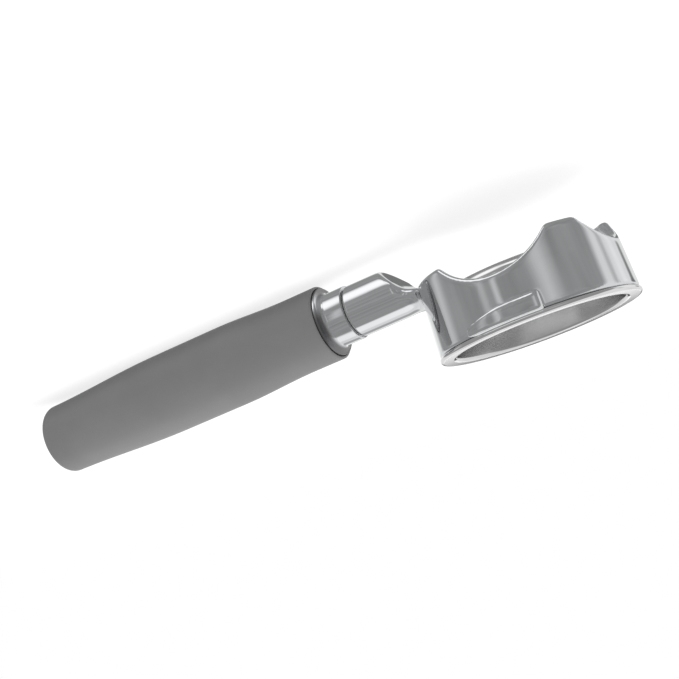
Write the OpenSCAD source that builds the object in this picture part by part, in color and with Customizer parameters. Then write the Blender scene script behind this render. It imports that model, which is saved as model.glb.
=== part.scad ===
// Bottomless portafilter: a cast basket holder with two bayonet lugs, a pressed filter basket,
// and a moulded grip clamped on the holder's shank by one long bolt.
// Frame: the origin is the centre of the sealing face on the basket's rim, +Z points up out of
// the basket, and the handle runs along +X. Millimetres.

/* [Filter basket] */
// Inside diameter of the basket
basket_bore_d = 58.5; // [57:0.1:60]
// Thickness of the basket's sheet
basket_sheet = 0.8; // [0.6:0.1:0.8]
// Height from the sealing face to the basket's underside
basket_h = 21.5; // [19:0.5:24]
// Outside radius of the corner between wall and floor
basket_corner_r = 3.5; // [2:0.5:5]
// Radius under the bend between wall and rim
lip_r = 0.4; // [0.3:0.1:0.5]
// Diameter over the rolled rim
rim_d = 70; // [69:0.5:72]
// Height of the rolled rim
rim_h = 1.8; // [1.8:0.1:2.2]
// Width of the turned-under hem
hem_w = 2.4; // [1.5:0.1:2.6]
// Diameter of one filter hole
hole_d = 1.1; // [0.8:0.1:1.4]
// Distance between filter holes
hole_pitch = 3.4; // [3:0.1:5]
// Unpierced width between the last holes and the corner
hole_margin = 1.2; // [0.8:0.1:3]

/* [Holder ring] */
// Height from the sealing face to the feet
ring_h = 27.4; // [26:0.2:30]
// Outside diameter under the rim
ring_top_d = 69.4; // [68.6:0.2:71]
// Outside diameter at the feet
ring_foot_d = 66.8; // [65.6:0.2:68]
// Radial clearance between the basket and the ring's bore
basket_gap = 0.45; // [0.3:0.05:0.6]
// Chamfer on the ring's edges
ring_chamfer = 0.6; // [0.3:0.1:0.8]
// Radius of the saddle cut through both sides
side_saddle_r = 22.6; // [20:0.2:25]
// Depth of the side saddles' crown below the sealing face
side_saddle_drop = 17.9; // [16:0.1:20]
// Distance of the side saddles ahead of the basket's axis
side_saddle_x = 2.2; // [1:0.2:4]
// Radius of the saddle cut through the front
front_saddle_r = 21.4; // [19:0.2:23]
// Depth of the front saddle's crown below the sealing face
front_saddle_drop = 18.8; // [16:0.1:21]

/* [Bayonet lugs] */
// Diameter over the lugs
lug_d = 84; // [80:0.5:88]
// Angle from a lug's middle plane to its tail, in degrees
lug_tail_a = 22.5; // [18:0.5:26]
// Angle from a lug's middle plane to its leading end, in degrees
lug_lead_a = 14.5; // [12:0.5:20]
// Radius of a lug's corner at its tail
lug_corner_r = 2.6; // [1:0.2:3.4]
// Height of the lugs above the ring's top
lug_rise = 0.8; // [0.2:0.1:1.4]
// Radial gap between the rolled rim and the lugs
rim_gap = 0.3; // [0.2:0.05:0.6]
// Thickness of a lug at its tail
lug_tail_t = 6.5; // [6:0.1:7.5]
// Thickness of a lug where its lead-in starts
lug_mid_t = 5.9; // [5:0.1:6]
// Thickness of a lug at its leading end
lug_lead_t = 3.2; // [2.6:0.1:4.4]
// Length of the lead-in
lug_lead_len = 12; // [8:0.5:14]
// Radius of the lead-in's rounded nose
lug_nose_r = 1.8; // [1:0.2:2.4]

/* [Retaining spring] */
// Diameter of the spring's wire
spring_wire_d = 1.4; // [1:0.1:1.6]
// Depth of the spring below the sealing face
spring_drop = 11.5; // [10:0.5:13]
// Radial clearance between the spring and the basket
spring_gap = 0.25; // [0.15:0.05:0.4]
// Opening between the spring's ends, in degrees
spring_opening = 24; // [10:2:40]

/* [Shank] */
// Depth of the handle's axis below the sealing face
axis_drop = 30.2; // [29:0.1:32]
// Diameter of the shank
shank_d = 18.4; // [17:0.1:19]
// Distance from the basket's axis to the shank's shoulder
shank_end = 59.7; // [57:0.1:63]
// Radius of the fillet that spreads the shank into the ring
flare_r = 8; // [6:0.5:9]
// Distance from the basket's axis to the scoop under the shank
scoop_start = 38.2; // [37:0.2:40]
// Slope of the scoop's face, in degrees
scoop_angle = 50; // [42:1:58]
// Height of the neck's underside above the handle's axis
neck_rise = 0.7; // [0.2:0.1:1.2]
// Depth of the seal groove at the shoulder
groove_depth = 1.6; // [1.4:0.1:2]

/* [Handle fixing] */
// Diameter of the shoulder seal's cord
seal_d = 0.8; // [0.6:0.1:1.1]
// Diameter of the spigot that carries the ferrule
spigot_d = 13; // [12:0.2:13.6]
// Length of the spigot past the groove
spigot_len = 16; // [14:0.5:18]
// Diameter of the tie bolt
bolt_d = 8; // [6:0.5:8]
// Length of bolt inside the spigot
bolt_grip = 22; // [16:1:26]
// Diameter of the bolt's head
bolt_head_d = 13; // [12:0.2:13.4]
// Height of the bolt's head
bolt_head_h = 8; // [6:0.5:8]
// Width across flats of the bolt's socket
socket_af = 6; // [5:0.5:6]
// Depth of the bolt's socket
socket_depth = 4; // [3:0.5:5]
// Thickness of the flat washer
washer_t = 1.6; // [1:0.1:2]
// Thickness of the split lock washer
lock_washer_t = 2; // [1.4:0.1:2.2]
// Wall of the core sleeve
sleeve_wall = 1.2; // [1:0.1:1.5]
// Gap between the ends of spigot and sleeve
sleeve_gap = 0.3; // [0.2:0.1:0.5]

/* [Ferrule] */
// Diameter of the ferrule
ferrule_d = 19.4; // [19:0.1:20]
// Visible length of the ferrule
ferrule_len = 10.2; // [9.4:0.1:12]
// Chamfer on the ferrule's front edge
ferrule_chamfer = 0.5; // [0.3:0.1:0.8]
// Diameter of the ferrule's flange
flange_d = 24.6; // [24.2:0.1:25]
// Thickness of the ferrule's flange
flange_t = 1.4; // [1.1:0.1:2]
// Radius of the cove between ferrule and flange
cove_r = 2.4; // [1:0.1:2.6]
// Diameter of the ferrule's tail inside the grip
tail_d = 17.4; // [16.6:0.1:18]
// Length of the ferrule's tail inside the grip
tail_len = 4.6; // [4:0.2:5.4]
// Thickness of the gasket between flange and grip
gasket_t = 0.5; // [0.4:0.1:1]
// Distance from the flange's rim in to the gasket's edge
gasket_inset = 0.2; // [0:0.1:1]

/* [Grip] */
// Length of the grip
grip_len = 119; // [112:1:130]
// Diameter of the grip at its mouth
grip_mouth_d = 26.8; // [26:0.2:28]
// Diameter of the grip's swell
grip_swell_d = 29; // [28:0.2:31]
// Diameter of the grip just before its end
grip_tail_d = 25.4; // [24:0.2:27]
// Length of the straight stretch behind the mouth
grip_straight = 12; // [10:1:16]
// Length over which the grip swells
grip_rise = 30; // [20:1:34]
// Length of the full swell
grip_hold = 26; // [20:1:30]
// Depth of the recess in the mouth that takes the ferrule's flange
recess_depth = 1; // [0.6:0.1:2]
// Radial gap between the flange and the recess
recess_gap = 0.2; // [0.1:0.05:0.4]
// Radius of the mouth's outer edge
mouth_edge_r = 0.8; // [0.4:0.1:1]
// Radius of the grip's rear edge
tail_edge_r = 3.5; // [2:0.5:4]
// Depth of the rear pocket
pocket_depth = 18; // [17.4:0.2:20]
// Diameter of the rear pocket
pocket_d = 17; // [16:0.2:17.6]

/* [End cap] */
// Diameter of the cap's head
cap_d = 18.2; // [17.8:0.1:18.4]
// Thickness of the cap's head at its edge
cap_edge_t = 0.6; // [0.4:0.1:1]
// Height of the cap's dome above its edge
cap_dome = 1.2; // [0.8:0.1:1.6]
// Length of the cap's plug
plug_len = 4.4; // [3:0.2:4.8]

/* [Hidden] */
$fn = 96;
// How far shapes of one solid reach into each other, and a cutter past its faces
lap = 0.5;
// Radial clearance of a sliding fit, and of the bolt in its tapped hole
slip = 0.1;
thread_gap = 0.05;
// Running clearance of the bolt inside the sleeve and washers
bolt_gap = 0.3;

basket_in_r = basket_bore_d / 2;
basket_out_r = basket_in_r + basket_sheet;
rim_r = rim_d / 2;
bore_r = basket_out_r + basket_gap;
ring_top_r = ring_top_d / 2;
ring_foot_r = ring_foot_d / 2;
lug_r = lug_d / 2;
lug_top = lug_rise - rim_h;
spring_r = basket_out_r + spring_gap + spring_wire_d / 2;

axis_z = -axis_drop;
shank_r = shank_d / 2;
neck_x = bore_r + lap;
groove_end = shank_end + seal_d + 2 * slip;
spigot_end = groove_end + spigot_len;
ferrule_end = groove_end + ferrule_len;
seat_x = ferrule_end + gasket_t;
mouth_x = seat_x - recess_depth;
grip_end = mouth_x + grip_len;
pocket_x = grip_end - pocket_depth;
lock_x = pocket_x + washer_t;
head_x = lock_x + lock_washer_t;
flange_r = flange_d / 2;
bolt_r = bolt_d / 2;
sleeve_r = bolt_r + bolt_gap + sleeve_wall;

// Smooth step from 0 to 1 while t goes from a to b
function ease(t, a, b) =
    let (s = min(1, max(0, (t - a) / (b - a)))) (1 - cos(180 * s)) / 2;

// Radius of the grip at a distance t behind its mouth
function grip_r(t) =
    let (rise_end = grip_straight + grip_rise,
         swell = ease(t, grip_straight, rise_end),
         fall = ease(t, rise_end + grip_hold, grip_len))
    (grip_mouth_d + (grip_swell_d - grip_mouth_d) * swell
        - (grip_swell_d - grip_tail_d) * fall) / 2;

// Turns a half section about the handle's axis: its X is the radius, its Y runs along the handle
module turned() {
    translate([0, 0, axis_z]) rotate([0, 90, 0]) rotate_extrude() children();
}

// A round bar of radius r along the handle's axis, from x0 to x1
module bar(x0, x1, r) {
    translate([x0, 0, axis_z]) rotate([0, 90, 0]) cylinder(h = x1 - x0, r = r);
}

// A round tube along the handle's axis
module tube(x0, x1, r_out, r_in) {
    difference() {
        bar(x0, x1, r_out);
        bar(x0 - lap, x1 + lap, r_in);
    }
}

// A quarter of a disc, or of a ring when r_in is given, in the quadrant that sx and sy name
module quarter(r, sx, sy, r_in = 0) {
    intersection() {
        difference() {
            circle(r = r);
            if (r_in > 0) circle(r = r_in);
        }
        translate([sx < 0 ? -r : 0, sy < 0 ? -r : 0]) square(r);
    }
}

// Centres of a hexagonal pattern of holes inside radius field_r
function hole_centres(field_r) = [
    let (n = ceil(field_r / hole_pitch) + 1)
    for (row = [-n : n], col = [-n : n])
        let (x = (col + (abs(row) % 2) / 2) * hole_pitch, y = row * hole_pitch * sin(60))
        if (norm([x, y]) <= field_r) [x, y]
];

// Half section of the pressed basket: floor, corner, wall, bend, flange and turned-under hem
module basket_section() {
    corner = [basket_out_r - basket_corner_r, -basket_h + basket_corner_r];
    bend = [basket_out_r + lip_r, -basket_sheet - lip_r];
    bead = [rim_r - rim_h / 2, -rim_h / 2];
    translate([0, -basket_h]) square([corner[0], basket_sheet]);
    translate(corner) quarter(basket_corner_r, 1, -1, basket_corner_r - basket_sheet);
    translate([basket_in_r, corner[1]]) square([basket_sheet, bend[1] - corner[1]]);
    translate(bend) quarter(basket_sheet + lip_r, -1, 1, lip_r);
    translate([bend[0], -basket_sheet]) square([bead[0] - bend[0], basket_sheet]);
    translate([bead[0] - hem_w, -rim_h]) square([hem_w, basket_sheet]);
    translate(bead) circle(r = rim_h / 2);
}

module filter_basket() {
    field_r = basket_out_r - basket_corner_r - hole_margin;
    color("gainsboro") difference() {
        rotate_extrude() basket_section();
        for (centre = hole_centres(field_r))
            translate([centre[0], centre[1], -basket_h - lap])
                cylinder(h = basket_sheet + 2 * lap, d = hole_d, $fn = 16);
    }
}

// Turned blank of the holder's ring, with its bore, chamfers and spring groove
module ring_blank() {
    c = ring_chamfer;
    groove_half = spring_wire_d / 2 + slip;
    groove_out_r = spring_r + groove_half;
    difference() {
        rotate_extrude() polygon([
            [bore_r + c / 2, -rim_h], [ring_top_r - c, -rim_h], [ring_top_r, -rim_h - c],
            [ring_foot_r, -ring_h + c], [ring_foot_r - c, -ring_h], [bore_r + c, -ring_h],
            [bore_r, -ring_h + c], [bore_r, -rim_h - c / 2]
        ]);
        rotate_extrude() translate([bore_r - lap, -spring_drop - groove_half])
            square([groove_out_r - bore_r + lap, 2 * groove_half]);
    }
}

// Round-topped cuts through both sides and through the front, which leave two front feet
module saddle_cuts() {
    reach = ring_top_r + lap;
    translate([-side_saddle_x, 0, -side_saddle_drop - side_saddle_r]) rotate([90, 0, 0])
        cylinder(h = 2 * reach, r = side_saddle_r, center = true);
    translate([-reach, 0, -front_saddle_drop - front_saddle_r]) rotate([0, 90, 0])
        cylinder(h = reach, r = front_saddle_r);
}

// A point in plan at radius r, turned by angle a from the -Y axis towards +X
function off_axis(r, a) = [r * sin(a), -r * cos(a)];

// Plan of the -Y lug: radial ends, with its outer corner rounded at the tail
module lug_plan() {
    corner_at = lug_r - lug_corner_r;
    corner_a = -lug_tail_a + asin(lug_corner_r / corner_at);
    corner = off_axis(corner_at, corner_a);
    root = off_axis(corner_at * cos(lug_tail_a + corner_a), -lug_tail_a);
    difference() {
        intersection() {
            circle(r = lug_r);
            union() {
                polygon([[0, 0], 2 * corner, off_axis(2 * lug_r, lug_lead_a)]);
                polygon([[0, 0], corner, root]);
                translate(corner) circle(r = lug_corner_r);
            }
        }
        circle(r = bore_r + 2 * lap);
    }
}

// Side view of the -Y lug: thick at its tail, sloping up to a rounded nose at its leading end
module lug_side() {
    tail_x = -lug_r * sin(lug_tail_a) - lap;
    lead_x = lug_r * sin(lug_lead_a);
    mid = [lead_x - lug_lead_len, lug_top - lug_mid_t];
    lead = [lead_x, lug_top - lug_lead_t];
    slope = atan2(lead[1] - mid[1], lug_lead_len);
    nose = [lead_x - lug_nose_r, lead[1] + lug_nose_r * (1 / cos(slope) - tan(slope))];
    steps = 6;
    polygon(concat(
        [[lead_x, lug_top], [tail_x, lug_top], [tail_x, lug_top - lug_tail_t], mid],
        [for (i = [0 : steps])
            let (a = (slope - 90) * (1 - i / steps)) nose + lug_nose_r * [cos(a), sin(a)]]
    ));
}

// One bayonet lug on the -Y side, relieved beside the basket's rim
module lug() {
    difference() {
        intersection() {
            translate([0, 0, -ring_h]) linear_extrude(height = ring_h) lug_plan();
            rotate([90, 0, 0]) linear_extrude(height = lug_r + lap) lug_side();
        }
        translate([0, 0, -rim_h]) cylinder(h = rim_h + lap, r = rim_r + rim_gap);
    }
}

// The shank's bar with the trumpet that spreads it into the ring
module shank_bar() {
    centre = [shank_r + flare_r, scoop_start];
    turned() union() {
        translate([0, neck_x]) square([shank_r, shank_end - neck_x]);
        difference() {
            translate([0, neck_x]) square([centre[0], scoop_start - neck_x]);
            translate(centre) circle(r = flare_r);
        }
    }
}

// Space under the neck: a slightly sloping underside and the steep scoop into the shank
module scoop_cut() {
    neck_z = axis_z + neck_rise;
    deep = shank_d;
    run = deep / tan(scoop_angle);
    width = 2 * ring_foot_r;
    translate([0, width / 2, 0]) rotate([90, 0, 0]) linear_extrude(height = width) polygon([
        [0, -ring_h], [neck_x, -ring_h], [scoop_start, neck_z],
        [scoop_start + run, neck_z - deep], [0, neck_z - deep]
    ]);
}

module holder_casting() {
    color("silver") difference() {
        union() {
            difference() {
                ring_blank();
                saddle_cuts();
            }
            lug();
            rotate([0, 0, 180]) lug();
            difference() {
                shank_bar();
                scoop_cut();
                translate([0, 0, -ring_h]) cylinder(h = ring_h, r = bore_r + lap);
            }
            bar(shank_end - lap, groove_end, shank_r - groove_depth);
            bar(groove_end - lap, spigot_end, spigot_d / 2);
        }
        bar(spigot_end - bolt_grip - bolt_r, spigot_end + lap, bolt_r + thread_gap);
    }
}

// Open ring of round wire that snaps over the basket's wall
module retaining_spring() {
    color("darkgray") rotate([0, 0, 180 + spring_opening / 2])
        rotate_extrude(angle = 360 - spring_opening) translate([spring_r, -spring_drop])
            circle(d = spring_wire_d, $fn = 32);
}

// Rubber O-ring in the groove between the shank's shoulder and the ferrule
module shoulder_seal() {
    seal_r = shank_r - groove_depth + slip + seal_d / 2;
    color("black") turned()
        translate([seal_r, shank_end + slip + seal_d / 2]) circle(d = seal_d, $fn = 32);
}

module ferrule() {
    c = ferrule_chamfer;
    ferrule_r = ferrule_d / 2;
    flange_x = ferrule_end - flange_t;
    bore = spigot_d / 2 + slip;
    color("silver") turned() difference() {
        union() {
            polygon([
                [bore, groove_end], [ferrule_r - c, groove_end], [ferrule_r, groove_end + c],
                [ferrule_r, flange_x + lap], [bore, flange_x + lap]
            ]);
            translate([bore, flange_x]) square([flange_r - bore, flange_t]);
            translate([ferrule_r - lap, flange_x - cove_r]) square([cove_r + lap, cove_r + lap]);
            translate([bore, ferrule_end - lap]) square([tail_d / 2 - bore, tail_len + lap]);
        }
        translate([ferrule_r + cove_r, flange_x - cove_r]) circle(r = cove_r);
    }
}

module handle_gasket() {
    color("black") tube(ferrule_end, seat_x, flange_r - gasket_inset, tail_d / 2 + slip);
}

// Half section of the grip: rounded mouth, a swell that follows grip_r, and a rounded tail
module grip_section() {
    steps = 40;
    start_t = mouth_edge_r;
    end_t = grip_len - tail_edge_r;
    mouth = [grip_r(0) - mouth_edge_r, mouth_edge_r];
    tail = [grip_r(end_t) - tail_edge_r, end_t];
    polygon(concat(
        [[0, start_t]],
        [for (i = [0 : steps]) let (t = start_t + (end_t - start_t) * i / steps) [grip_r(t), t]],
        [[0, end_t]]
    ));
    square([mouth[0], mouth_edge_r + lap]);
    translate(mouth) quarter(mouth_edge_r, 1, -1);
    translate([0, end_t - lap]) square([tail[0], tail_edge_r + lap]);
    translate(tail) quarter(tail_edge_r, 1, 1);
}

module handle_grip() {
    color([0.16, 0.16, 0.17]) difference() {
        turned() translate([0, mouth_x]) grip_section();
        bar(mouth_x - lap, seat_x, flange_r + recess_gap);
        bar(mouth_x, ferrule_end + tail_len + slip, tail_d / 2 + slip);
        bar(mouth_x, spigot_end, spigot_d / 2 + slip);
        bar(mouth_x, grip_end - lap, sleeve_r + slip);
        bar(pocket_x, grip_end + lap, pocket_d / 2);
    }
}

module core_sleeve() {
    color("lightsteelblue")
        tube(spigot_end + sleeve_gap, pocket_x, sleeve_r, bolt_r + bolt_gap);
}

module tie_bolt() {
    color("slategray") difference() {
        union() {
            bar(spigot_end - bolt_grip, head_x + lap, bolt_r);
            bar(head_x, head_x + bolt_head_h, bolt_head_d / 2);
        }
        translate([head_x + bolt_head_h - socket_depth, 0, axis_z]) rotate([0, 90, 0])
            cylinder(h = socket_depth + lap, r = socket_af / 2 / cos(30), $fn = 6);
    }
}

module flat_washer() {
    color("lightgray") tube(pocket_x, lock_x, pocket_d / 2 - slip, bolt_r + bolt_gap);
}

// Split washer: one narrow radial cut through a plain ring
module lock_washer() {
    cut_w = lock_washer_t / 2;
    color("gray") difference() {
        tube(lock_x, head_x, bolt_head_d / 2, bolt_r + bolt_gap);
        translate([lock_x - lap, -cut_w / 2, axis_z])
            cube([lock_washer_t + 2 * lap, cut_w, bolt_head_d]);
    }
}

module end_cap() {
    cap_r = cap_d / 2;
    dome_r = (pow(cap_r, 2) + pow(cap_dome, 2)) / (2 * cap_dome);
    edge_x = grip_end + cap_edge_t;
    color([0.12, 0.12, 0.13]) turned() union() {
        translate([0, grip_end - plug_len]) square([pocket_d / 2 - slip, plug_len + lap]);
        translate([0, grip_end]) square([cap_r, cap_edge_t]);
        intersection() {
            translate([0, edge_x + cap_dome - dome_r]) circle(r = dome_r);
            translate([0, edge_x - lap]) square([cap_r, cap_dome + 2 * lap]);
        }
    }
}

holder_casting();
filter_basket();
retaining_spring();
shoulder_seal();
ferrule();
handle_gasket();
handle_grip();
core_sleeve();
tie_bolt();
flat_washer();
lock_washer();
end_cap();
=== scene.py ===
"""Looks of a bottomless portafilter: chromed holder, pressed basket and clamped handle.

Each sub-assembly is a class whose fields are its sizes in millimetres. Its pieces are shaped
with bmesh operators in millimetres and finished in metres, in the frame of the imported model.
"""

import logging
import math
from dataclasses import dataclass
from enum import Enum
from typing import Iterable, Sequence, Union

import bmesh
import bpy
from bmesh.types import BMesh
from mathutils import Matrix, Vector


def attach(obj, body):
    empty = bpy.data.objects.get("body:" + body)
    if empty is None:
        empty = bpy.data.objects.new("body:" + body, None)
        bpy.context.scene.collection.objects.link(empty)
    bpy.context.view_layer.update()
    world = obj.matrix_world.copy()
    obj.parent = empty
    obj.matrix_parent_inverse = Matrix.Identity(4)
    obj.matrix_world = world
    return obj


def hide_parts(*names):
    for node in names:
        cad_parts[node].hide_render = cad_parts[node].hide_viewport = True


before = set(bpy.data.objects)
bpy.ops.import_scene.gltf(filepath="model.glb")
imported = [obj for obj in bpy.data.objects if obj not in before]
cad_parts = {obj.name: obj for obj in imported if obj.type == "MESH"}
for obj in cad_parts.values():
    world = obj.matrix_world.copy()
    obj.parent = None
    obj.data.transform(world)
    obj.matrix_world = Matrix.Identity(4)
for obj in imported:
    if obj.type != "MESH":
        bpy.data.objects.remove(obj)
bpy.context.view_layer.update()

log = logging.getLogger("portafilter")

METRES = 0.001
FULL_TURN = 2 * math.pi
QUARTER_TURN = math.pi / 2
TIDY = 1e-4
ROD_STEPS = 480
GRID_SHARE = 0.8
Number = Union[int, float]
Colour = tuple[float, float, float]
Span = tuple[float, float]


# ---------------------------------------------------------------- shader sheets


class Signal:
    """A number that varies over a surface, with its arithmetic written as Python."""

    def __init__(self, sheet: "NodeSheet", socket: bpy.types.NodeSocket) -> None:
        """Keeps the sheet the nodes go on and the socket that carries the number."""
        self.sheet = sheet
        self.socket = socket

    def maths(self, operation: str, *others: "Signal | Number", first: bool = True) -> "Signal":
        """Adds one Math node.

        Args:
            operation: the Math node's operation.
            others: the node's other inputs.
            first: whether this signal is the node's first input.

        Returns:
            The node's result.
        """
        inputs = [self, *others] if first else [*others, self]
        return self.sheet.number("ShaderNodeMath", {"operation": operation}, inputs)

    def __add__(self, other: "Signal | Number") -> "Signal":
        """Sum."""
        return self.maths("ADD", other)

    __radd__ = __add__

    def __mul__(self, other: "Signal | Number") -> "Signal":
        """Product."""
        return self.maths("MULTIPLY", other)

    __rmul__ = __mul__

    def __sub__(self, other: "Signal | Number") -> "Signal":
        """Difference."""
        return self.maths("SUBTRACT", other)

    def __rsub__(self, other: "Signal | Number") -> "Signal":
        """Difference with this signal taken from the other."""
        return self.maths("SUBTRACT", other, first=False)

    def rise(self, start: float, end: float) -> "Signal":
        """Adds a smooth step.

        Args:
            start: where the step is 0; it may be above end.
            end: where the step is 1.

        Returns:
            The step, from 0 to 1.
        """
        low, high, flip = (start, end, False) if start < end else (end, start, True)
        step = self.sheet.number(
            "ShaderNodeMapRange", {"interpolation_type": "SMOOTHSTEP"}, [self, low, high, 0.0, 1.0]
        )
        return 1 - step if flip else step

    def band(self, centre: float, half: float) -> "Signal":
        """Smooth bump of height 1 about centre, gone at half either side."""
        return (self - centre).maths("ABSOLUTE").rise(half, 0.0)


Axes = tuple[Signal, Signal, Signal]


class NodeSheet:
    """The node tree of one material or world."""

    def __init__(self, owner: bpy.types.ID) -> None:
        """Empties the owner's node tree and works on it.

        Args:
            owner: the material or world.
        """
        owner.use_nodes = True
        self.tree = owner.node_tree
        self.tree.nodes.clear()

    def node(
        self, kind: str, settings: dict, inputs: "dict | Sequence", output: int = 0
    ) -> bpy.types.NodeSocket:
        """Adds one node, with its settings first and then its inputs.

        Args:
            kind: the node's type.
            settings: the node's own properties.
            inputs: values, signals or sockets, by the socket's name or place.
            output: which output socket to hand back.

        Returns:
            The chosen output socket, or None where the node has no output.
        """
        made = self.tree.nodes.new(kind)
        for name, value in settings.items():
            setattr(made, name, value)
        pairs = inputs.items() if isinstance(inputs, dict) else enumerate(inputs)
        for key, value in pairs:
            value = value.socket if isinstance(value, Signal) else value
            if isinstance(value, bpy.types.NodeSocket):
                self.tree.links.new(value, made.inputs[key])
            else:
                made.inputs[key].default_value = value
        return made.outputs[output] if made.outputs else None

    def number(
        self, kind: str, settings: dict, inputs: "dict | Sequence", output: int = 0
    ) -> Signal:
        """Adds one node and wraps its output as a signal."""
        return Signal(self, self.node(kind, settings, inputs, output))

    def place(self) -> bpy.types.NodeSocket:
        """The point on the piece, in metres."""
        return self.node("ShaderNodeTexCoord", {}, {}, output=3)

    def axes(self, vector: bpy.types.NodeSocket) -> Axes:
        """The three parts of a vector."""
        made = self.node("ShaderNodeSeparateXYZ", {}, [vector]).node
        return tuple(Signal(self, socket) for socket in made.outputs)

    def stretched(
        self, vector: bpy.types.NodeSocket, scale: Sequence[float]
    ) -> bpy.types.NodeSocket:
        """A vector scaled along each axis."""
        return self.node("ShaderNodeMapping", {}, {"Vector": vector, "Scale": tuple(scale)})

    def noise(self, vector: bpy.types.NodeSocket, scale: float, detail: float = 3.0) -> Signal:
        """Soft noise, about 0 to 1."""
        return self.number(
            "ShaderNodeTexNoise", {}, {"Vector": vector, "Scale": scale, "Detail": detail}
        )

    def tint(
        self, amount: Signal, low: "Colour | bpy.types.NodeSocket", high: Colour
    ) -> bpy.types.NodeSocket:
        """Adds a colour between two.

        Args:
            amount: 0 for the low colour, 1 for the high one.
            low: a colour, or the socket of one.
            high: a colour.

        Returns:
            The mixed colour's socket.
        """
        low = (*low, 1.0) if isinstance(low, tuple) else low
        inputs = {0: amount, 6: low, 7: (*high, 1.0)}
        return self.node("ShaderNodeMix", {"data_type": "RGBA"}, inputs, output=2)

    def relief(self, height: Signal, depth: float, strength: float = 1.0) -> bpy.types.NodeSocket:
        """A normal bent by a height signal whose full range is depth metres."""
        return self.node(
            "ShaderNodeBump", {}, {"Strength": strength, "Distance": depth, "Height": height}
        )

    def surface(self, **inputs: object) -> None:
        """Ends the sheet in one Principled shader.

        Args:
            inputs: values or links by the socket's name, with _ for a space.
        """
        named = {name.replace("_", " "): value for name, value in inputs.items()}
        shader = self.node("ShaderNodeBsdfPrincipled", {}, named)
        self.node("ShaderNodeOutputMaterial", {}, {"Surface": shader})


@dataclass(frozen=True)
class Finish:
    """A finish with a name, which makes its own material."""

    name: str

    def draw(self, sheet: NodeSheet) -> None:
        """Draws the finish's nodes."""
        raise NotImplementedError

    def material(self) -> bpy.types.Material:
        """Makes the material.

        Returns:
            The finished material.
        """
        made = bpy.data.materials.new(self.name)
        self.draw(NodeSheet(made))
        return made


@dataclass(frozen=True)
class ChromePlate(Finish):
    """Polished chrome plate, with the machined bore left duller, and the cove by the grip painted
    dark as painted shade for the grip's dark reflection and left duller too.
    """

    colour: Colour = (0.80, 0.81, 0.82)
    haze: Colour = (0.74, 0.75, 0.765)
    polish: float = 0.045
    bore_radius: float = 0.0309
    cove_shade_start: float = 0.0676
    cove_shade_end: float = 0.0688
    unshaded_band_z: float = -0.0360
    # painted shade: the colour the cove by the grip is darkened to, standing in for the grip's
    # dark reflection
    painted_cove_shade: Colour = (0.25, 0.25, 0.256)

    def draw(self, sheet: NodeSheet) -> None:
        """Draws handling haze, fine hairlines, the turned bore and the painted shade in the cove
        by the grip.

        Args:
            sheet: the material's sheet.
        """
        place = sheet.place()
        x, y, z = sheet.axes(place)
        smear = sheet.noise(place, 60.0, 4.0).rise(0.42, 0.72)
        hairline = sheet.noise(sheet.stretched(place, (260.0, 260.0, 2600.0)), 1.0, 2.0)
        radius = (x * x + y * y).maths("SQRT")
        bore = radius.rise(self.bore_radius + 0.0004, self.bore_radius)
        turning = sheet.noise(sheet.stretched(place, (90.0, 90.0, 5200.0)), 1.0, 2.0)
        dull = smear * 0.035 + hairline * 0.02 + bore * (0.16 + turning * 0.1)
        height = hairline * 0.12 + bore * turning
        # painted shade: the cove darkens towards the grip as a painted dark reflection, except in
        # a band across z where the highlight falls; it is also rougher there
        painted_cove_shade = x.rise(self.cove_shade_start, self.cove_shade_end) * (1 - z.band(self.unshaded_band_z, 0.0056))
        haze = sheet.tint(smear * 0.6 + bore * 0.4, self.colour, self.haze)
        sheet.surface(
            Base_Color=sheet.tint(painted_cove_shade, haze, self.painted_cove_shade),
            Metallic=1.0,
            Roughness=dull + painted_cove_shade * 0.3 + self.polish,
            Normal=sheet.relief(height, 0.000012, 0.35),
        )


@dataclass(frozen=True)
class DrawnSteel(Finish):
    """Bright stainless sheet with the fine rings that pressing and polishing leave."""

    colour: Colour = (0.88, 0.88, 0.88)
    # colour of the real stain and rings, and also of the painted shade inside the basket
    stain_and_painted_shade: Colour = (0.66, 0.66, 0.665)
    polish: float = 0.045
    inside: Span = (0.0298, 0.0288)

    def draw(self, sheet: NodeSheet) -> None:
        """Draws rings round the basket's axis, duller inside it and painted darker there as
        painted shade of the hollow, and a light stain.

        Args:
            sheet: the material's sheet.
        """
        place = sheet.place()
        x, y, z = sheet.axes(place)
        radius = (x * x + y * y).maths("SQRT")
        run = sheet.node("ShaderNodeCombineXYZ", {}, [radius * 2400.0, z * 2400.0, 0.0])
        rings = sheet.noise(run, 1.0, 3.0)
        stain = sheet.noise(place, 85.0, 4.0).rise(0.4, 0.75)
        # painted shade: inside the wall the colour is darkened for the shade of the basket's
        # hollow, and the sheet is rougher there
        inside = radius.rise(*self.inside)
        sheet.surface(
            Base_Color=sheet.tint(
                stain * 0.3 + rings * 0.2 + inside * 0.5, self.colour, self.stain_and_painted_shade
            ),
            Metallic=1.0,
            Roughness=(rings * 0.08 + stain * 0.06 + 0.19) * inside + self.polish,
            Normal=sheet.relief(rings * inside, 0.00001, 0.2),
        )


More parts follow.
